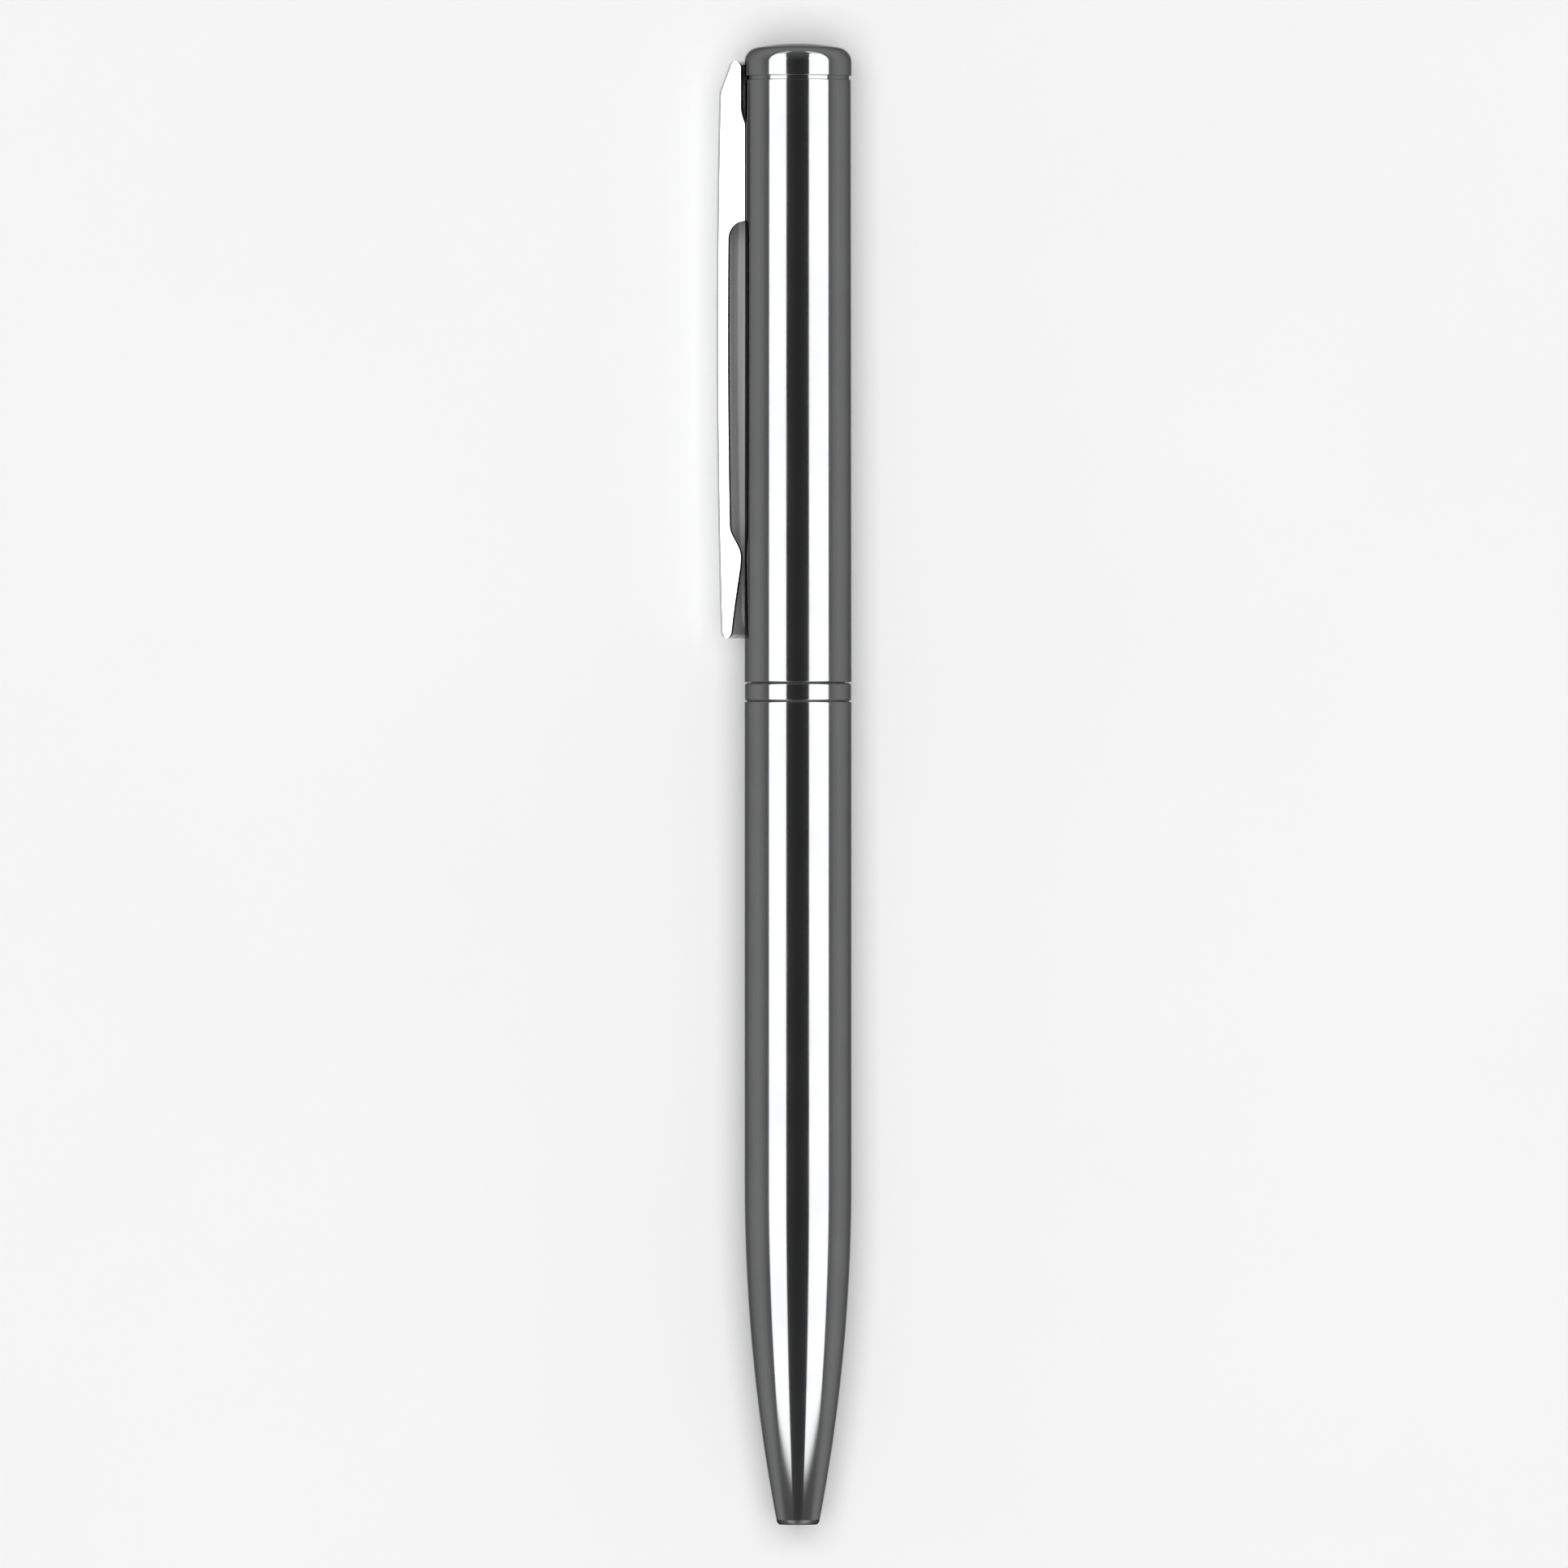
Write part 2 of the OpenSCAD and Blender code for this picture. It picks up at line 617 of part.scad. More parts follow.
// Bent strip: its foot is welded under the clip's back and its hook sits inside the barrel wall
module clip_anchor() {
  foot_u = back_u(leg_top) - clip_sheet - seat;
  color("silver") lay() rotate([90, 0, 0]) linear_extrude(height = anchor_w, center = true) polygon([
    [foot_u, leg_top], [foot_u, leg_top - anchor_foot], [foot_u - anchor_t, leg_top - anchor_foot],
    [foot_u - anchor_t, leg_top - anchor_t], [hook_u - anchor_t, leg_top - anchor_t],
    [hook_u - anchor_t, leg_top - anchor_t + anchor_hook], [hook_u, leg_top - anchor_t + anchor_hook],
    [hook_u, leg_top]
  ]);
}

// Moulded carrier that grips the refill in a split socket
module follower() {
  top = pin_s + pin_r + follower_end;
  color("white") lay() difference() {
    tube(follower_r, 0, follower_low, top);
    translate([0, 0, follower_low - over]) cylinder(r = follower_bore_r, h = socket_len + seat + over);
    translate([0, 0, pin_s]) rotate([0, 90, 0]) cylinder(r = pin_r + seat, h = 2 * barrel_r, center = true);
    block([-barrel_r, -slit_w / 2, follower_low - over], [barrel_r, slit_w / 2, follower_low + slit_len]);
  }
}

module drive_pin() {
  color("silver") lay() translate([0, 0, pin_s]) rotate([0, 90, 0])
    cylinder(r = pin_r, h = 2 * (cam_r - 2 * run), center = true);
}

module refill_tube() {
  color("silver") lay() tube(refill_r, tube_in, point_back, refill_back);
}

module ink_column() {
  low = point_back + point_tail_len + seat;
  color("hotpink") lay() tube(tube_in - seat, 0, low, low + ink_len);
}

// Stepped metal point with the ball's socket and the ink feed
module refill_point() {
  cone_s = point_tip + point_cone_len;
  color("silver") lay() difference() {
    rotate_extrude() polygon([
      [0, point_tip], [point_rim_d / 2, point_tip], [refill_r - point_bevel, cone_s],
      [refill_r, cone_s + point_bevel], [refill_r, point_back],
      [tail_r, point_back], [tail_r, point_back + point_tail_len], [0, point_back + point_tail_len]
    ]);
    translate([0, 0, ball_s]) sphere(r = ball_d / 2 + ball_room);
    translate([0, 0, ball_s]) cylinder(d = feed_d, h = point_len + point_tail_len);
    translate([0, 0, cone_s]) cylinder(d = 2 * feed_d, h = point_len + point_tail_len);
  }
}

module writing_ball() {
  color("darkgray") lay() translate([0, 0, ball_s]) sphere(d = ball_d);
}

lower_barrel();
lower_insert();
centre_ring();
nipple();
guide_tube();
bearing_washer();
retaining_ring();
upper_barrel();
upper_liner();
cam_sleeve();
mechanism_cap();
clip_bush();
finial();
clip();
clip_anchor();
follower();
drive_pin();
refill_tube();
ink_column();
refill_point();
writing_ball();
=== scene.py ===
"""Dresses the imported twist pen: polished dark-chrome shells and a stamped clip round its own works."""
import json
import math

import bmesh
import bpy
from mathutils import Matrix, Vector


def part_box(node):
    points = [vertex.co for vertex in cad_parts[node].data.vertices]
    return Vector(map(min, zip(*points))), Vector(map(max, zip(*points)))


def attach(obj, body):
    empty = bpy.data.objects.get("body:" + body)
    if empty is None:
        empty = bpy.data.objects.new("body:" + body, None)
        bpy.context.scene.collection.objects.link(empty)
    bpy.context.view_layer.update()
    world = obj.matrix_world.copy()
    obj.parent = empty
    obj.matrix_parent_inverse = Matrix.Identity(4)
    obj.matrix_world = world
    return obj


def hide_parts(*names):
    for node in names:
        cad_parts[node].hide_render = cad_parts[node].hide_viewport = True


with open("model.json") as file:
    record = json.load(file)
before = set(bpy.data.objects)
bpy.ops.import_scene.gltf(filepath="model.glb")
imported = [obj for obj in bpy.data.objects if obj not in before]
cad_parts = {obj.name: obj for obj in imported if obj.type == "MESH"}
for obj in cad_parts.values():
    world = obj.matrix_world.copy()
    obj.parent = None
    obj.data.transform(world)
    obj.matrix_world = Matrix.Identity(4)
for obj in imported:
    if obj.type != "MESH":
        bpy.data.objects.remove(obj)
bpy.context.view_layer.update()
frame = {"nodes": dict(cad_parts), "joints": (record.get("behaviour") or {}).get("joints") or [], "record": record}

MM = 0.001

# The pen's axis, the clip's direction and the heights along the axis come from the frame.
lower_low, lower_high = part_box("lower_barrel")
AXIS_X = (lower_low.x + lower_high.x) / 2 / MM
AXIS_Z = (lower_low.z + lower_high.z) / 2 / MM
MOUTH_Y = lower_low.y / MM
clip_joint = next(j for j in frame["joints"] if j["name"] == "clip_spring")
CLIP_COS, CLIP_SIN = -clip_joint["axis"][2], clip_joint["axis"][0]


def heights(node):
    """Lowest and highest distance of a node from the nose's mouth, in mm."""
    low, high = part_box(node)
    return low.y / MM - MOUTH_Y, high.y / MM - MOUTH_Y


def place(u, t, s):
    """Point in the row frame: u towards the clip, t across it, s along the axis from the mouth, in mm."""
    x = AXIS_X - u * CLIP_COS - t * CLIP_SIN
    z = AXIS_Z - u * CLIP_SIN + t * CLIP_COS
    return Vector((x, MOUTH_Y + s, z)) * MM


# Driving sizes in mm, as in the part's source. The lip's length and the clip's inner bend, trimmed edges
# and scoop are the scene's own.
BARREL_R = 4.0
BORE_R = 3.55
UPPER_TOP_R = 3.95
NOSE_LEN = 25.5
NOSE_END_R = 1.55
NOSE_LIP_R = 0.3
NOSE_LIP_LEN = 0.55
NOSE_BORE_R = 1.25
NOSE_BORE_LEN = 2.6
RING_R = 3.98
RING_H = 1.32
RING_GROOVE_H = 0.08
RING_GROOVE = 0.16
RING_SHOULDER_GAP = 0.05
RING_BORE_R = 2.91
RING_COUNTERBORE = 0.47
NECK_H = 0.25
NECK_DEPTH = 0.12
DOME_R = 15.7
DOME_EDGE_R = 1.1
EDGE = 0.08
HEAD_EDGE = 0.08
PLUG_GAP = 0.02
PLUG_LEN = 1.6
STEM_R = 1.45
CLIP_W = 4.2
CLIP_SHEET = 0.3
CLIP_BEND_R = 0.35
CLIP_INNER_BEND_R = CLIP_BEND_R / 5
CLIP_TRIM = 0.05
CLIP_STAND = 1.84
CLIP_CREST = 20.3
CLIP_BOW_R = 720.0
CLIP_SHOULDER = 2.7
CLIP_SHOULDER_TURN = math.radians(21)
CLIP_SHOULDER_R = 2.0
CLIP_SIDE = 1.08
CLIP_ROCK = 4.7
CLIP_RELIEF = 0.32
CLIP_RELIEF_LEN = 1.3
CLIP_ROOT = 11.9
CLIP_STEP = 1.4
CLIP_BUMP = 6.1
CLIP_BUMP_GAP = 0.33
CLIP_BUMP_CURVE = 2.3
CLIP_LEAD_CURVE = 0.2
CLIP_TIP_SIDE = 0.94
CLIP_END_ROUND = 0.55
CLIP_SCOOP = 1.7
SADDLE_ROOM = 0.04
WINDOW_HALF = 1.25
WINDOW_LEN = 1.95
WINDOW_ROOM = 0.15
LOWER_TOP = heights("lower_barrel")[1]
RING_LOW = heights("centre_ring")[0]
RING_TOP = RING_LOW + RING_H
UPPER_LOW, UPPER_TOP = heights("upper_barrel")
FINIAL_LOW, PEN_LEN = heights("finial")
CLIP_TIP, CLIP_TOP = heights("clip")
WINDOW_TOP = heights("clip_anchor")[1] + WINDOW_ROOM
WINDOW_LOW = WINDOW_TOP - WINDOW_LEN

# How finely the meshes are divided
LATHE_SEGMENTS = 240
WINDOW_SEGMENTS = 26
ROUND_STEPS = 6
LIP_STEPS = 12
NOSE_ROWS = 72
DOME_STEPS = 16
CLIP_END_STEPS = 12
CLIP_STEP_STEPS = 16
CLIP_ARM_STEPS = (16, 12, 10, 24, 24)
CLIP_ROOT_STEPS = (10, 16, 16)
CLIP_BEND_STEPS = 8
CLIP_FLAT_STEPS = 6
SUPPORT = 0.05
ON_AXIS = 1e-9
MERGE_DISTANCE = 1e-8
SHARP_ANGLE = math.radians(32)


# Mesh helpers

def spread(low, high, steps, first=0):
    """Evenly spaced values from low to high. With first=1, low itself is left out."""
    return [low + (high - low) * k / steps for k in range(first, steps + 1)]


QUARTER = spread(0, math.pi / 2, ROUND_STEPS)
FULL_TURN = spread(0, 2 * math.pi, LATHE_SEGMENTS)[:-1]


def add_piece(name, bm, body, materials, node):
    """Turns a bmesh into a smooth piece that rides on a body and stands for a CAD node."""
    bmesh.ops.remove_doubles(bm, verts=bm.verts, dist=MERGE_DISTANCE)
    bmesh.ops.recalc_face_normals(bm, faces=bm.faces)
    for face in bm.faces:
        face.smooth = True
    for edge in bm.edges:
        edge.smooth = not edge.is_manifold or edge.calc_face_angle(0) < SHARP_ANGLE
    mesh = bpy.data.meshes.new(name)
    bm.to_mesh(mesh)
    bm.free()
    for material in materials:
        mesh.materials.append(material)
    piece = bpy.data.objects.new(name, mesh)
    bpy.context.scene.collection.objects.link(piece)
    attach(piece, body)
    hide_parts(node)


def rounded(corners):
    """Closed outline of (r, s, radius) corners, each rounded, with support points beside every rounding."""
    points = []
    count = len(corners)
    for i, (x, y, radius) in enumerate(corners):
        here = Vector((x, y))
        back = Vector(corners[i - 1][:2]) - here
        on = Vector(corners[(i + 1) % count][:2]) - here
        a, b = back.normalized(), on.normalized()
        half = a.angle(b) / 2
        reach = radius / math.tan(half)
        if radius == 0:
            points.append(here)
            continue
        if reach + SUPPORT < back.length / 2:
            points.append(here + a * (reach + SUPPORT))
        centre = here + (a + b).normalized() * radius / math.sin(half)
        start = here + a * reach - centre
        turn = start.angle_signed(here + b * reach - centre)
        for angle in spread(0, -turn, ROUND_STEPS):
            c, s = math.cos(angle), math.sin(angle)
            points.append(centre + Vector((c * start.x - s * start.y, s * start.x + c * start.y)))
        if reach + SUPPORT < on.length / 2:
            points.append(here + b * (reach + SUPPORT))
    return [(p.x, p.y) for p in points]


def lathe(bm, profile, angles, skip=None):
    """Turns an outline of (r, s) points round the axis. skip(i, k) leaves faces out."""
    rings = []
    for r, s in profile:
        if r < ON_AXIS:
            rings.append([bm.verts.new(place(0, 0, s))] * len(angles))
        else:
            rings.append([bm.verts.new(place(r * math.cos(a), r * math.sin(a), s)) for a in angles])
    for i in range(len(rings)):
        low, high = rings[i], rings[(i + 1) % len(rings)]
        for k in range(len(angles)):
            if skip and skip(i, k):
                continue
            n = (k + 1) % len(angles)
            corners = list(dict.fromkeys([low[k], low[n], high[n], high[k]]))
            if len(corners) > 2:
                bm.faces.new(corners)
    return rings


def second_material(bm, rings):
    """Gives the faces between the given rings the piece's second material."""
    chosen = set().union(*rings)
    for face in bm.faces:
        if chosen.issuperset(face.verts):
            face.material_index = 1


# Material helpers. Noise runs over the object's own coordinates in metres, and a stretch below 1 on an
# axis draws it out along that axis.

EVEN = (1, 1, 1)
NOISE_DETAIL = 4
COLOUR_FROM, COLOUR_TO = 0.35, 0.65
ROUGHNESS_FROM, ROUGHNESS_TO = 0.3, 0.7


def bsdf(material):
    """The material's Principled shader."""
    return material.node_tree.nodes["Principled BSDF"]


def noise(material, scale, stretch):
    """Output of a new noise texture."""
    nodes, links = material.node_tree.nodes, material.node_tree.links
    coords = nodes.new("ShaderNodeTexCoord")
    mapping = nodes.new("ShaderNodeMapping")
    mapping.inputs["Scale"].default_value = stretch
    texture = nodes.new("ShaderNodeTexNoise")
    texture.inputs["Scale"].default_value = scale
    texture.inputs["Detail"].default_value = NOISE_DETAIL
    links.new(coords.outputs["Object"], mapping.inputs["Vector"])
    links.new(mapping.outputs["Vector"], texture.inputs["Vector"])
    return texture.outputs["Fac"]


def vary_colour(material, dark, light, scale, stretch=EVEN):
    """Base colour that wanders between two colours."""
    nodes, links = material.node_tree.nodes, material.node_tree.links
    ramp = nodes.new("ShaderNodeValToRGB")
    ramp.color_ramp.elements[0].position = COLOUR_FROM
    ramp.color_ramp.elements[1].position = COLOUR_TO
    ramp.color_ramp.elements[0].color = (*dark, 1)
    ramp.color_ramp.elements[1].color = (*light, 1)
    links.new(noise(material, scale, stretch), ramp.inputs["Fac"])
    links.new(ramp.outputs["Color"], bsdf(material).inputs["Base Color"])


def vary_roughness(material, low, high, scale, stretch=EVEN):
    """Roughness that wanders between two values."""
    nodes, links = material.node_tree.nodes, material.node_tree.links
    span = nodes.new("ShaderNodeMapRange")
    span.inputs["From Min"].default_value = ROUGHNESS_FROM
    span.inputs["From Max"].default_value = ROUGHNESS_TO
    span.inputs["To Min"].default_value = low
    span.inputs["To Max"].default_value = high
    links.new(noise(material, scale, stretch), span.inputs["Value"])
    links.new(span.outputs["Result"], bsdf(material).inputs["Roughness"])


def add_relief(material, depth, scale, stretch=EVEN):
    """Fine relief of the given depth in metres."""
    nodes, links = material.node_tree.nodes, material.node_tree.links
    relief = nodes.new("ShaderNodeBump")
    relief.inputs["Distance"].default_value = depth
    links.new(noise(material, scale, stretch), relief.inputs["Height"])
    links.new(relief.outputs["Normal"], bsdf(material).inputs["Normal"])


def finish(name, colour, metallic, roughness, tones, marks=None, relief=None):
    """Material with wandering tones and, where given, marks in its roughness and a fine relief."""
    material = bpy.data.materials.new(name)
    material.use_nodes = True
    bsdf(material).inputs["Base Color"].default_value = (*colour, 1)
    bsdf(material).inputs["Metallic"].default_value = metallic
    bsdf(material).inputs["Roughness"].default_value = roughness
    vary_colour(material, **tones)
    if marks:
        vary_roughness(material, **marks)
    if relief:
        add_relief(material, **relief)
    return material


def grey(value, warm=0.0):
    """Nearly neutral colour."""
    return (value * (1 + warm), value, value * (1 - warm))


CHROME_TONE = 0.03
CHROME_COOL = -0.01
CHROME_MARKS = 0.2
POLISHED, SATIN = 0.09, 0.36


def chrome(name, value, edge_tint, roughness):
    """Plating of the given reflectance, with faint polishing marks along the pen."""
    dark, light = (grey(value * (1 + way * CHROME_TONE), CHROME_COOL) for way in (-1, 1))
    low, high = (roughness * (1 + way * CHROME_MARKS) for way in (-1, 1))
    material = finish(name, grey(value), 1.0, roughness,
                      tones=dict(dark=dark, light=light, scale=220),
                      marks=dict(low=low, high=high, scale=900, stretch=(1, 0.15, 1)))
    bsdf(material).inputs["Specular Tint"].default_value = (*grey(edge_tint), 1)
    return material


dark_chrome = chrome("dark_chrome", 0.165, 0.35, POLISHED)
# Lip of the nose's mouth: rougher than the barrel, which is its satin finish, and at half the barrel's
# reflectance, which is painted shade on the lip.
satin_chrome_painted_shade = chrome("satin_chrome_painted_shade", 0.08, 0.22, SATIN)
bright_chrome = chrome("bright_chrome", 0.55, 0.8, POLISHED)

dull_plating = finish("dull_plating", grey(0.74), 0.1, 0.45,
                      tones=dict(dark=grey(0.6), light=grey(0.88), scale=1500, stretch=(1, 0.02, 1)),
                      marks=dict(low=0.35, high=0.55, scale=2500, stretch=(1, 0.05, 1)))
# Near-black floors of the ring's grooves: painted shade in the grooves.
groove_painted_shade = finish("groove_painted_shade", grey(0.03), 0.0, 0.6,
                     tones=dict(dark=grey(0.02), light=grey(0.04), scale=800),
                     marks=dict(low=0.5, high=0.7, scale=1500))
brass = finish("brass", (0.72, 0.52, 0.24), 1.0, 0.3,
               tones=dict(dark=(0.66, 0.46, 0.2), light=(0.75, 0.56, 0.27), scale=300),
               relief=dict(depth=4e-6, scale=900, stretch=(0.1, 9, 0.1)))
guide_plastic = finish("guide_plastic", grey(0.06), 0.0, 0.45,
                       tones=dict(dark=grey(0.05), light=grey(0.07), scale=500),
                       relief=dict(depth=3e-6, scale=2500))
white_plastic = finish("white_plastic", (0.8, 0.79, 0.75), 0.0, 0.4,
                       tones=dict(dark=(0.76, 0.75, 0.71), light=(0.82, 0.81, 0.78), scale=400),
                       relief=dict(depth=2e-6, scale=2500))
steel = finish("steel", grey(0.6), 1.0, 0.28,
               tones=dict(dark=grey(0.56), light=grey(0.63), scale=400),
               marks=dict(low=0.2, high=0.36, scale=1500, stretch=(4, 0.2, 4)))
refill_metal = finish("refill_metal", grey(0.66, 0.03), 1.0, 0.2,
                      tones=dict(dark=grey(0.62, 0.03), light=grey(0.69, 0.03), scale=350),
                      marks=dict(low=0.14, high=0.26, scale=1200, stretch=(0.2, 6, 0.2)))
carbide = finish("carbide", grey(0.36), 1.0, 0.2,
                 tones=dict(dark=grey(0.33), light=grey(0.38), scale=4000),
                 marks=dict(low=0.15, high=0.3, scale=6000))
ink = finish("ink", (0.8, 0.12, 0.34), 0.0, 0.12,
             tones=dict(dark=(0.76, 0.1, 0.31), light=(0.83, 0.14, 0.37), scale=300))

SLOT_MATERIALS = {
    "dark_chrome": dark_chrome, "bright_chrome": bright_chrome, "brass": brass, "steel": steel,
    "guide_plastic": guide_plastic, "white_plastic": white_plastic,
    "refill_metal": refill_metal, "carbide": carbide, "ink": ink,
}
for part in frame["record"]["subparts"]:
    carried = frame["nodes"][part["node"]].data
    carried.materials.clear()
    carried.materials.append(SLOT_MATERIALS[part["material_slot"]])


# Barrels, ring and finial

def lower_barrel():
    """Tube with a long curved nose, whose mouth has a satin lip, darkened as painted shade."""
    drop = BARREL_R - NOSE_END_R
    arc_r = (NOSE_LEN ** 2 + drop ** 2) / (2 * drop)

    def nose(s, wall):
        return BARREL_R - arc_r + math.sqrt((arc_r - wall) ** 2 - (NOSE_LEN - s) ** 2)

    wall = BARREL_R - BORE_R
    slope = NOSE_LEN / math.sqrt(arc_r ** 2 - NOSE_LEN ** 2)
    lip_turn = math.atan(slope * NOSE_LIP_LEN / NOSE_LIP_R)
    lip_s = NOSE_LIP_LEN * (1 - math.sin(lip_turn))
    lip = nose(lip_s, 0) - NOSE_LIP_R * math.cos(lip_turn)
    outer = [(BARREL_R - EDGE + EDGE * math.sin(a), LOWER_TOP - EDGE + EDGE * math.cos(a)) for a in QUARTER]
    outer += [(BARREL_R, LOWER_TOP - EDGE - SUPPORT), (BARREL_R, NOSE_LEN + SUPPORT)]
    outer += [(nose(s, 0), s) for s in spread(NOSE_LEN, lip_s, NOSE_ROWS)]
    lip_low = len(outer) - 1
    outer += [(lip + NOSE_LIP_R * math.cos(a), NOSE_LIP_LEN * (1 - math.sin(a)))
              for a in spread(lip_turn, math.pi / 2, LIP_STEPS, 1)]
    inner = [(NOSE_BORE_R, 0), (NOSE_BORE_R, NOSE_BORE_LEN)]
    inner += [(nose(s, wall), s) for s in spread(NOSE_BORE_LEN, NOSE_LEN, NOSE_ROWS)]
    inner += [(BORE_R, LOWER_TOP)]
    bm = bmesh.new()
    rings = lathe(bm, outer + inner, FULL_TURN)
    # The lip takes the satin chrome whose darker colour is painted shade.
    second_material(bm, rings[lip_low:len(outer)])
    add_piece("lower_shell", bm, "lower", [dark_chrome, satin_chrome_painted_shade], "lower_barrel")


def centre_ring():
    """Polished band between two grooves whose floors carry painted shade, with the shoulder that the upper barrel
    turns on.
    """
    foot_r, band_low = RING_R - RING_GROOVE, RING_LOW + RING_GROOVE_H
    shoulder_top = UPPER_LOW - RING_SHOULDER_GAP
    counterbore = RING_TOP - RING_COUNTERBORE
    outline = [(RING_BORE_R, LOWER_TOP, 0), (foot_r, LOWER_TOP, 0), (foot_r, band_low, 0),
               (RING_R, band_low, EDGE), (RING_R, RING_TOP, EDGE),
               (foot_r, RING_TOP, 0), (foot_r, shoulder_top, 0), (BORE_R, shoulder_top, 0),
               (BORE_R, counterbore, 0), (RING_BORE_R, counterbore, 0)]
    bm = bmesh.new()
    rings = lathe(bm, rounded(outline), FULL_TURN)
    # The grooves' floors lie between the second and third corner, and the fifth and fourth from the end, and are
    # painted near-black as the shade in the grooves.
    second_material(bm, rings[1:3])
    second_material(bm, rings[-5:-3])
    add_piece("ring_band", bm, "lower", [dark_chrome, groove_painted_shade], "centre_ring")


def upper_r(s):
    """Outer radius of the tapered upper barrel."""
    return BARREL_R + (UPPER_TOP_R - BARREL_R) * (s - UPPER_LOW) / (UPPER_TOP - UPPER_LOW)


def upper_barrel():
    """Tapered tube with the window that the clip's anchor passes through."""
    window_turn = math.asin(WINDOW_HALF / (BARREL_R - (BARREL_R - BORE_R) / 2))
    angles = spread(-window_turn, window_turn, WINDOW_SEGMENTS)[:-1]
    angles += spread(window_turn, 2 * math.pi - window_turn, LATHE_SEGMENTS - WINDOW_SEGMENTS)[:-1]

    foot = [(BARREL_R - EDGE + EDGE * math.sin(a), UPPER_LOW + EDGE - EDGE * math.cos(a)) for a in QUARTER]
    head_r, head_s = UPPER_TOP_R - EDGE, UPPER_TOP - EDGE
    head = [(head_r + EDGE * math.cos(a), head_s + EDGE * math.sin(a)) for a in QUARTER]
    rows = [UPPER_LOW + EDGE + SUPPORT, WINDOW_LOW, WINDOW_TOP, UPPER_TOP - EDGE - SUPPORT]
    outer = foot + [(upper_r(s), s) for s in rows] + head
    inner = [(BORE_R, s) for s in (UPPER_TOP, WINDOW_TOP, WINDOW_LOW, UPPER_LOW)]
    outer_row = len(foot) + 1
    inner_row = len(outer) + 1

    bm = bmesh.new()
    window_rows = (outer_row, inner_row)
    rings = lathe(bm, outer + inner, angles, lambda i, k: i in window_rows and k < WINDOW_SEGMENTS)
    for row, facing in ((outer_row, inner_row + 1), (outer_row + 1, inner_row)):
        for k in range(WINDOW_SEGMENTS):
            bm.faces.new([rings[row][k], rings[row][k + 1], rings[facing][k + 1], rings[facing][k]])
    for k in (0, WINDOW_SEGMENTS):
        corners = (outer_row, outer_row + 1, inner_row, inner_row + 1)
        bm.faces.new([rings[row][k] for row in corners])
    add_piece("upper_shell", bm, "upper", [dark_chrome], "upper_barrel")


def finial():
    """Head with a shallow dome, a soft edge and a groove under it, on its plug and stem."""
    edge_r = BARREL_R - DOME_EDGE_R
    edge_s = PEN_LEN - DOME_R + math.sqrt((DOME_R - DOME_EDGE_R) ** 2 - edge_r ** 2)
    join = math.atan2(edge_r, edge_s - PEN_LEN + DOME_R)
    head_low = UPPER_TOP + NECK_H
    neck_r = UPPER_TOP_R - NECK_DEPTH
    plug_r = BORE_R - PLUG_GAP
    plug_low = UPPER_TOP - PLUG_LEN
    rim_r, rim_s = BARREL_R - HEAD_EDGE, head_low + HEAD_EDGE
    outline = [(0, FINIAL_LOW), (STEM_R, FINIAL_LOW), (STEM_R, plug_low), (plug_r, plug_low),
               (plug_r, UPPER_TOP), (neck_r, UPPER_TOP), (neck_r, head_low), (rim_r - SUPPORT, head_low)]
    outline += [(rim_r + HEAD_EDGE * math.sin(a), rim_s - HEAD_EDGE * math.cos(a)) for a in QUARTER]
    outline += [(BARREL_R, rim_s + SUPPORT), (BARREL_R, edge_s - SUPPORT)]
    outline += [(edge_r + DOME_EDGE_R * math.sin(a), edge_s + DOME_EDGE_R * math.cos(a))
                for a in spread(math.pi / 2, join, DOME_STEPS)]
    outline += [(DOME_R * math.sin(a), PEN_LEN - DOME_R + DOME_R * math.cos(a))
                for a in spread(join, 0, DOME_STEPS, 1)]
    bm = bmesh.new()
    lathe(bm, outline, FULL_TURN)
    add_piece("finial_head", bm, "upper", [dark_chrome], "finial")


lower_barrel()
centre_ring()
upper_barrel()
finial()


# Clip: a stamped channel with a bowed back, a sloped shoulder, a deep root, a thin arm and a bump

CREST_S = CLIP_TOP - CLIP_CREST
CREST_U = BARREL_R + CLIP_STAND
HALF_W = CLIP_W / 2
ROCK_S = CLIP_TOP - CLIP_ROCK
ROOT_S = CLIP_TOP - CLIP_ROOT
BUMP_S = CLIP_TIP + CLIP_BUMP
SHOULDER_S = CLIP_TOP - CLIP_SHOULDER
SHOULDER_TURN = math.asin((SHOULDER_S - CREST_S) / CLIP_BOW_R)
SIDE_U = math.sqrt(BARREL_R ** 2 - HALF_W ** 2)
BUMP_U = SIDE_U + CLIP_BUMP_GAP
RELIEF_U = SIDE_U + CLIP_RELIEF
SADDLE_R = max(upper_r(ROOT_S - CLIP_STEP), upper_r(UPPER_TOP)) + SADDLE_ROOM

# Share of the end's rounding where the section stops, and the most of a low section that its bends and its
# trimmed edges may take. A rounded corner's middle lies at CORNER_CUT of its radius from both sides.
END_STOP = 0.995
BEND_SHARE = 0.48
TRIM_SHARE = 0.2
CORNER_CUT = 0.3


def bow_u(s):
    """Level of the bowed back."""
    return CREST_U - CLIP_BOW_R + math.sqrt(CLIP_BOW_R ** 2 - (s - CREST_S) ** 2)


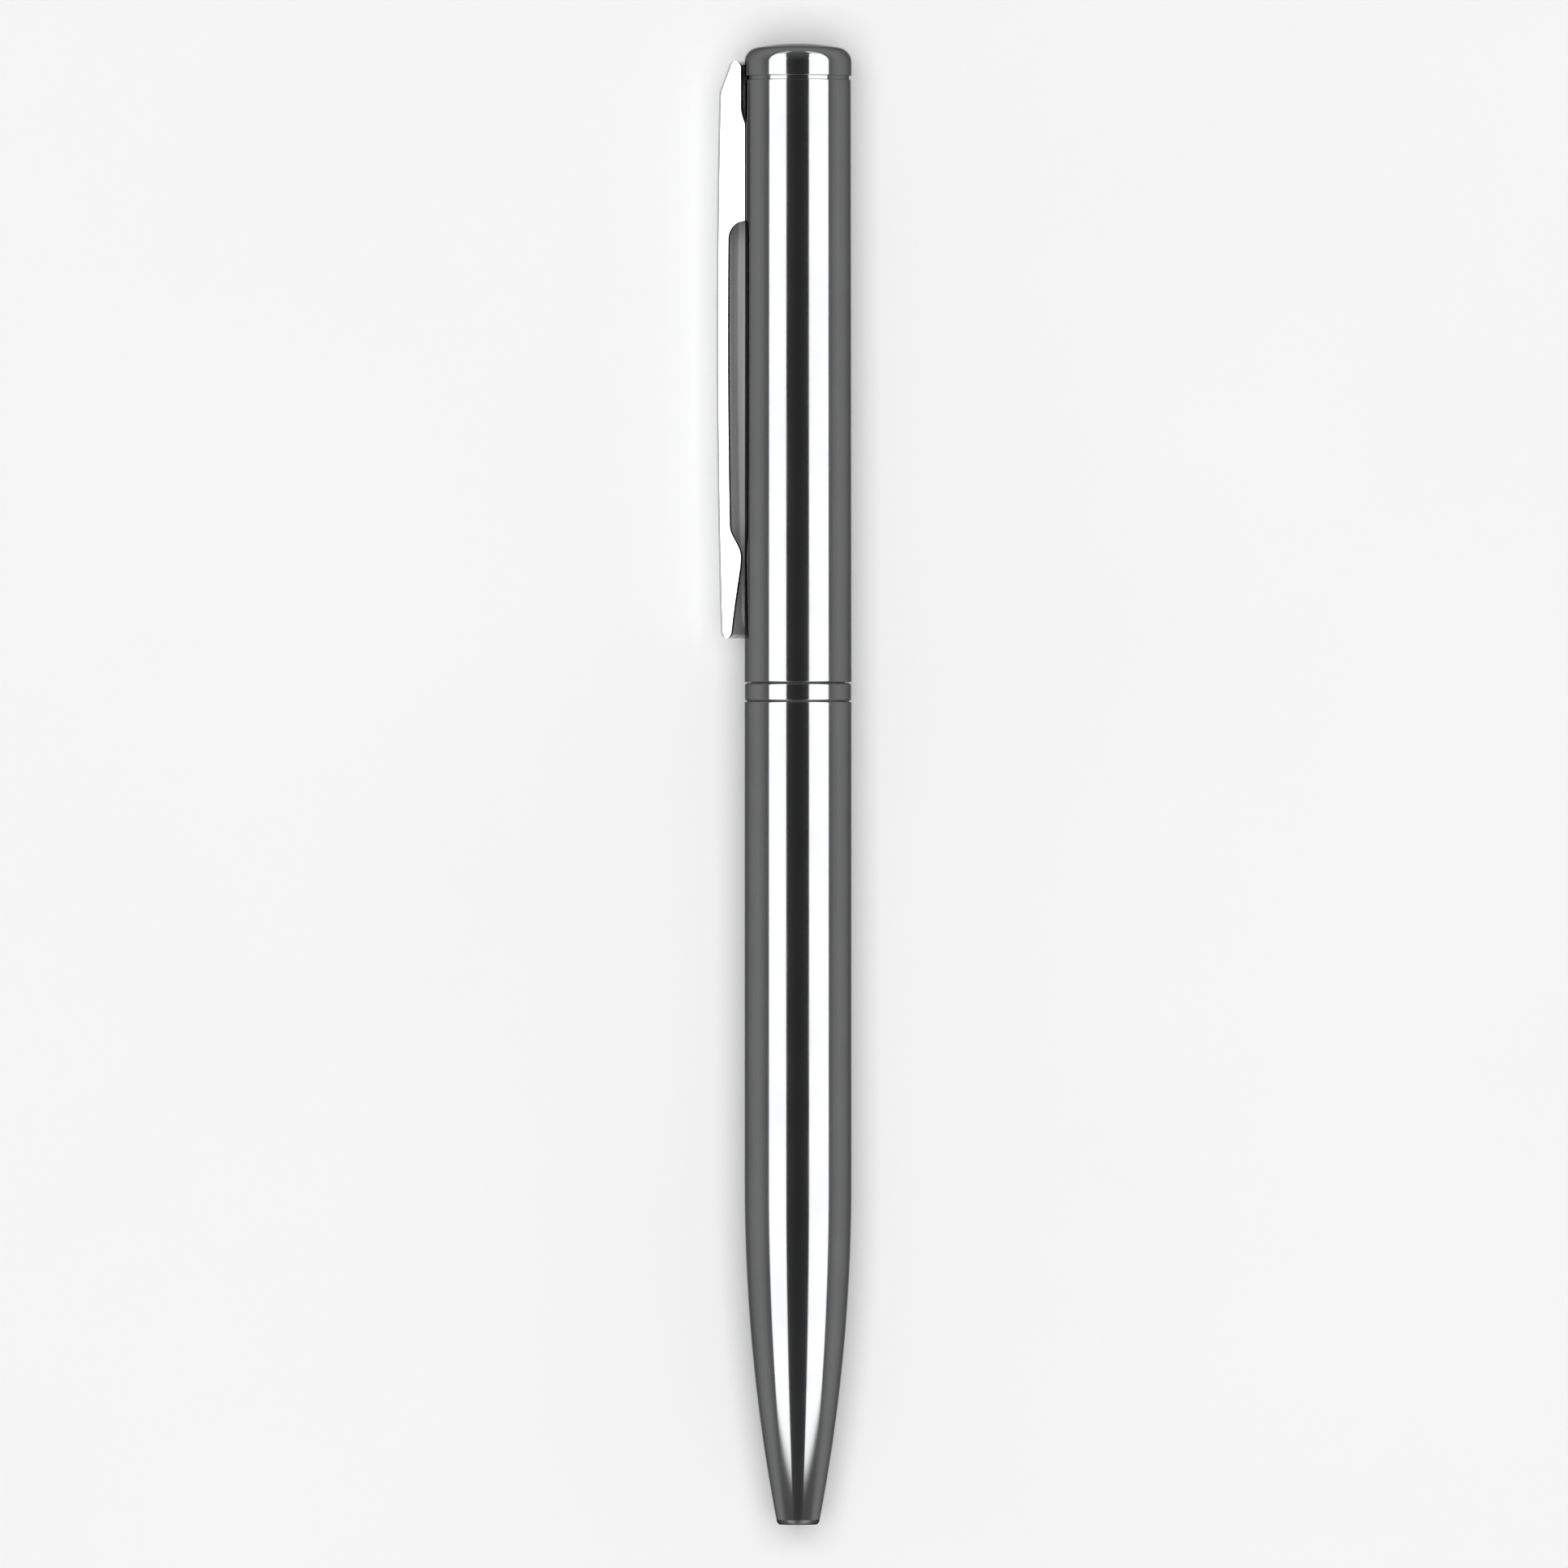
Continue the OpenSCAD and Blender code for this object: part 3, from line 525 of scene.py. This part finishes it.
def back_u(s):
    """Level of the clip's back: bow, shoulder bend, straight shoulder."""
    if s < SHOULDER_S:
        return bow_u(s)
    slope = SHOULDER_TURN + CLIP_SHOULDER_TURN
    centre_u = bow_u(SHOULDER_S) - CLIP_SHOULDER_R * math.cos(SHOULDER_TURN)
    centre_s = SHOULDER_S - CLIP_SHOULDER_R * math.sin(SHOULDER_TURN)
    if s < centre_s + CLIP_SHOULDER_R * math.sin(slope):
        return centre_u + math.sqrt(CLIP_SHOULDER_R ** 2 - (s - centre_s) ** 2)
    return centre_u + CLIP_SHOULDER_R / math.cos(slope) - (s - centre_s) * math.tan(slope)


def saddle_u(t):
    """Level at which the sides clear the barrel."""
    return math.sqrt(SADDLE_R ** 2 - t ** 2)


def side_edge(s, t):
    """Level of the cut edge of the sides, at a distance t from the middle."""
    arm = back_u(s) - CLIP_SIDE
    if s > ROCK_S + CLIP_RELIEF_LEN:
        return RELIEF_U
    if s > ROCK_S:
        lift = SIDE_U + CLIP_RELIEF * math.sin(math.pi / 2 * (s - ROCK_S) / CLIP_RELIEF_LEN)
        return max(lift, saddle_u(t))
    if s > ROOT_S:
        return saddle_u(t)
    if s > ROOT_S - CLIP_STEP:
        x = (s - ROOT_S) / CLIP_STEP + 1
        return max(saddle_u(t), SIDE_U + (arm - SIDE_U) * math.sqrt(max(0, 1 - x * x)))
    if s > BUMP_S + CLIP_BUMP_CURVE:
        return arm
    if s > BUMP_S:
        return BUMP_U + (arm - BUMP_U) * (1 - math.cos(math.pi * (s - BUMP_S) / CLIP_BUMP_CURVE)) / 2
    x, k = (BUMP_S - s) / CLIP_BUMP, CLIP_LEAD_CURVE
    lead = (x * x / (2 * k) if x < k else x - k / 2) / (1 - k / 2)
    return BUMP_U + (back_u(s) - CLIP_TIP_SIDE - BUMP_U) * lead


def clip_levels(s):
    """Back level, and the cut edge's levels outside and inside, with both ends of the clip rounded."""
    for end, way in ((CLIP_TIP, 1), (CLIP_TOP, -1)):
        start = end + way * CLIP_END_ROUND
        x = (start - s) * way / CLIP_END_ROUND
        if x > 0:
            back, edge = back_u(start), side_edge(start, HALF_W)
            middle, half = (back + edge) / 2, (back - edge) / 2
            half *= math.sqrt(max(0.0, 1 - min(x, END_STOP) ** 2))
            return middle + half, middle - half, middle - half
    return back_u(s), side_edge(s, HALF_W), side_edge(s, HALF_W - CLIP_SHEET)


def clip_hollow(s):
    """How far the channel is open: walled off at both ends, and scooped out near the tip."""
    x = (s - CLIP_TIP - CLIP_SHEET) / CLIP_SCOOP
    if x <= 0 or s > CLIP_TOP - CLIP_SHEET:
        return 0.0
    return math.sqrt(1 - (1 - x) ** 2) if x < 1 else 1.0


def clip_outline(back, outer_edge, inner_edge, hollow):
    """Outer and inner (u, t) points of the clip's section. hollow runs from 0, solid, to 1, full depth."""
    depth = back - outer_edge
    bend = min(CLIP_BEND_R, depth * BEND_SHARE)
    trim = min(CLIP_TRIM, depth * TRIM_SHARE)
    cut = CORNER_CUT * trim
    corner = HALF_W - bend
    side = [(outer_edge, HALF_W - trim), (outer_edge + cut, HALF_W - cut), (outer_edge + trim, HALF_W)]
    side += [(u, HALF_W) for u in spread(outer_edge + 2 * trim, back - bend - trim, CLIP_FLAT_STEPS)]
    side += [(back - bend + bend * math.sin(a), corner + bend * math.cos(a))
             for a in spread(0, math.pi / 2, CLIP_BEND_STEPS)]
    side += [(back, t) for t in spread(corner - trim, 0, CLIP_FLAT_STEPS)[:-1]]
    outer = side + [(back, 0.0)] + [(u, -t) for u, t in reversed(side)]

    wall = HALF_W - CLIP_SHEET
    roof = back - CLIP_SHEET
    nook = CORNER_CUT * CLIP_INNER_BEND_R
    half = [(inner_edge, wall + trim), (inner_edge + cut, wall + cut), (inner_edge + trim, wall)]
    half += [(roof - CLIP_INNER_BEND_R, wall), (roof - nook, wall - nook), (roof, wall - CLIP_INNER_BEND_R)]
    half.append((roof, wall / 2))
    half = [(outer_edge + (u - outer_edge) * hollow, t) for u, t in half]
    inner = [(u, -t) for u, t in half] + [(half[-1][0], 0.0)] + list(reversed(half))
    return outer, inner


def clip():
    """Channel lofted through its sections from the tip to the top, dull inside."""
    lead_end = BUMP_S - CLIP_BUMP * CLIP_LEAD_CURVE
    scoop_end = CLIP_TIP + CLIP_SHEET + CLIP_SCOOP
    arm_knots = [CLIP_TIP + CLIP_END_ROUND, scoop_end, lead_end, BUMP_S, BUMP_S + CLIP_BUMP_CURVE,
                 ROOT_S - CLIP_STEP]
    root_knots = [ROOT_S, ROCK_S, ROCK_S + CLIP_RELIEF_LEN, CLIP_TOP - CLIP_END_ROUND]
    stations = [CLIP_TIP + CLIP_END_ROUND * (1 - math.cos(a))
                for a in spread(0, math.pi / 2, CLIP_END_STEPS)]
    for low, high, steps in zip(arm_knots, arm_knots[1:], CLIP_ARM_STEPS):
        stations += spread(low, high, steps, 1)
    stations += [ROOT_S - CLIP_STEP * math.cos(a) for a in spread(0, math.pi / 2, CLIP_STEP_STEPS, 1)]
    for low, high, steps in zip(root_knots, root_knots[1:], CLIP_ROOT_STEPS):
        stations += spread(low, high, steps, 1)
    stations += [CLIP_TOP - CLIP_END_ROUND * (1 - math.sin(a))
                 for a in spread(0, math.pi / 2, CLIP_END_STEPS, 1)]

    bm = bmesh.new()
    loops = []
    for s in stations:
        outer, inner = clip_outline(*clip_levels(s), clip_hollow(s))
        loops.append([bm.verts.new(place(u, t, s)) for u, t in outer + inner])
    for low, high in zip(loops, loops[1:]):
        for k in range(len(low)):
            n = (k + 1) % len(low)
            face = bm.faces.new([low[k], low[n], high[n], high[k]])
            face.material_index = int(len(outer) < k < len(low) - 2)
    bm.faces.new(loops[0])
    bm.faces.new(loops[-1])
    add_piece("clip_channel", bm, "clip", [bright_chrome, dull_plating], "clip")


clip()


# Camera at the photograph's angle: straight down, with the finial at the top of the picture

CAMERA_HEIGHT = 2.0
PICTURE_WIDTH = 117.1 * MM
SENSOR_WIDTH = 36
camera_data = bpy.data.cameras.new("camera")
camera_data.sensor_width = SENSOR_WIDTH
camera_data.lens = SENSOR_WIDTH * (CAMERA_HEIGHT - AXIS_Z * MM) / PICTURE_WIDTH
camera = bpy.data.objects.new("camera", camera_data)
camera.location = (0, 0, CAMERA_HEIGHT)
bpy.context.scene.collection.objects.link(camera)
bpy.context.scene.camera = camera


# Floor

FLOOR_HALF = 3.0
floor_mesh = bpy.data.meshes.new("floor")
floor_mesh.from_pydata([(-FLOOR_HALF, -FLOOR_HALF, 0), (FLOOR_HALF, -FLOOR_HALF, 0),
                        (FLOOR_HALF, FLOOR_HALF, 0), (-FLOOR_HALF, FLOOR_HALF, 0)], [], [(0, 1, 2, 3)])
floor = bpy.data.objects.new("floor", floor_mesh)
bpy.context.scene.collection.objects.link(floor)
floor_paper = finish("floor", grey(0.9), 0.0, 0.9,
                     tones=dict(dark=grey(0.896), light=grey(0.904), scale=30))
bsdf(floor_paper).inputs["Specular IOR Level"].default_value = 0.0
floor_mesh.materials.append(floor_paper)


# Lamps, in metres, with radiance in W / (m2 sr)

def area_light(name, place_at, look_at, width, length, radiance):
    """Rectangular lamp of the given radiance that faces a point, with its length along Y."""
    data = bpy.data.lights.new(name, "AREA")
    data.shape = "RECTANGLE"
    data.size = length
    data.size_y = width
    data.energy = radiance * math.pi * width * length
    lamp = bpy.data.objects.new(name, data)
    lamp.location = place_at
    lamp.rotation_euler = (Vector(look_at) - Vector(place_at)).to_track_quat("-Z", "Y").to_euler()
    bpy.context.scene.collection.objects.link(lamp)
    return lamp


def fade(lamp, cuts):
    """Dims a lamp across slanting lines. A cut is (slant, dark, lit), for values of y + slant * z."""
    lamp.data.use_nodes = True
    nodes, links = lamp.data.node_tree.nodes, lamp.data.node_tree.links
    geometry = nodes.new("ShaderNodeNewGeometry")
    split = nodes.new("ShaderNodeSeparateXYZ")
    links.new(geometry.outputs["Position"], split.inputs["Vector"])
    level = None
    for slant, dark, lit in cuts:
        line = nodes.new("ShaderNodeMath")
        line.operation = "MULTIPLY_ADD"
        line.inputs[1].default_value = slant
        span = nodes.new("ShaderNodeMapRange")
        span.interpolation_type = "SMOOTHSTEP"
        span.inputs["From Min"].default_value = dark
        span.inputs["From Max"].default_value = lit
        links.new(split.outputs["Z"], line.inputs[0])
        links.new(split.outputs["Y"], line.inputs[2])
        links.new(line.outputs["Value"], span.inputs["Value"])
        if level:
            links.new(level, span.inputs["To Max"])
        level = span.outputs["Result"]
    links.new(level, nodes["Emission"].inputs["Strength"])


# Long soft boxes on both sides of the camera: the barrel shows each of them as a white stripe. They fade
# out towards the nose's mouth, and their inner edges are trimmed beyond the finial, where the dome would
# draw the two stripes together. Dimmer pairs stand beyond the nose and, narrower, beyond the finial, for
# views along the pen. A side is its name, its sign along X, and its inner and outer angle from overhead
# in degrees.
STRIP_SIDES = (("left", -1, 25, 64.5), ("right", 1, 23.5, 68.5))
STRIP_DISTANCE = 0.3
STRIP_RADIANCE = 5.8
STRIP_LOW, STRIP_HIGH = -0.21, 0.5
STRIP_SLANT = 0.26
STRIP_DARK, STRIP_LIT = -0.098, -0.078
TRIM_START = 0.139
TRIM_SLANT = 7.6
TRIM_SOFT = 0.045
NOSE_STRIP_LOW, NOSE_STRIP_HIGH = -1.0, -0.21
NOSE_STRIP_RADIANCE = 3.4
FINIAL_STRIP_LOW, FINIAL_STRIP_HIGH = 0.5, 1.3
FINIAL_STRIP_RADIANCE = 2.8
FINIAL_STRIP_INSET = 18


def strip_light(name, side, near, far, low, high, radiance):
    """Soft box between two angles from overhead and two values of y, seen in mirrors only."""
    angle, half = math.radians(far + near) / 2, math.radians(far - near) / 2
    middle = (low + high) / 2
    spot = (side * STRIP_DISTANCE * math.sin(angle), middle, STRIP_DISTANCE * math.cos(angle))
    width = 2 * STRIP_DISTANCE * math.tan(half)
    strip = area_light(name, spot, (0, middle, 0), width, high - low, radiance)
    strip.visible_diffuse = False
    return strip


for name, side, near, far in STRIP_SIDES:
    strip = strip_light("strip_" + name, side, near, far, STRIP_LOW, STRIP_HIGH, STRIP_RADIANCE)
    inner_z = STRIP_DISTANCE * math.cos(math.radians(near)) / math.cos(math.radians(far - near) / 2)
    trim = TRIM_START + TRIM_SLANT * inner_z
    fade(strip, [(STRIP_SLANT, STRIP_DARK, STRIP_LIT), (TRIM_SLANT, trim + TRIM_SOFT, trim)])
    strip_light("nose_strip_" + name, side, near, far,
                NOSE_STRIP_LOW, NOSE_STRIP_HIGH, NOSE_STRIP_RADIANCE)
    strip_light("finial_strip_" + name, side, near + FINIAL_STRIP_INSET, far,
                FINIAL_STRIP_LOW, FINIAL_STRIP_HIGH, FINIAL_STRIP_RADIANCE)

# Large soft lamp overhead for everything that isn't a mirror
FILL_HEIGHT = 1.0
FILL_SIZE = 0.9
FILL_RADIANCE = 3.5
fill = area_light("fill", (0, 0, FILL_HEIGHT), (0, 0, 0), FILL_SIZE, FILL_SIZE, FILL_RADIANCE)
fill.visible_glossy = False
fill.visible_camera = False

# Dim room that is brightest near the horizon. A step is the sine of an elevation and the level there.
ROOM_HORIZON, ROOM_ZENITH = 0.9, 0.115
ROOM_STEPS = ((0.35, 0.42), (0.9, 0.22))
world = bpy.data.worlds.new("room")
world.use_nodes = True
bpy.context.scene.world = world
room_nodes, room_links = world.node_tree.nodes, world.node_tree.links
room_coords = room_nodes.new("ShaderNodeTexCoord")
room_split = room_nodes.new("ShaderNodeSeparateXYZ")
room_ramp = room_nodes.new("ShaderNodeValToRGB")
room_ramp.color_ramp.elements[0].color = (*grey(ROOM_HORIZON), 1)
room_ramp.color_ramp.elements[1].color = (*grey(ROOM_ZENITH), 1)
for height, level in ROOM_STEPS:
    room_ramp.color_ramp.elements.new(height).color = (*grey(level), 1)
room_links.new(room_coords.outputs["Generated"], room_split.inputs["Vector"])
room_links.new(room_split.outputs["Z"], room_ramp.inputs["Fac"])
room_links.new(room_ramp.outputs["Color"], room_nodes["Background"].inputs["Color"])

bpy.context.scene.view_settings.view_transform = "Standard"

bpy.context.view_layer.update()
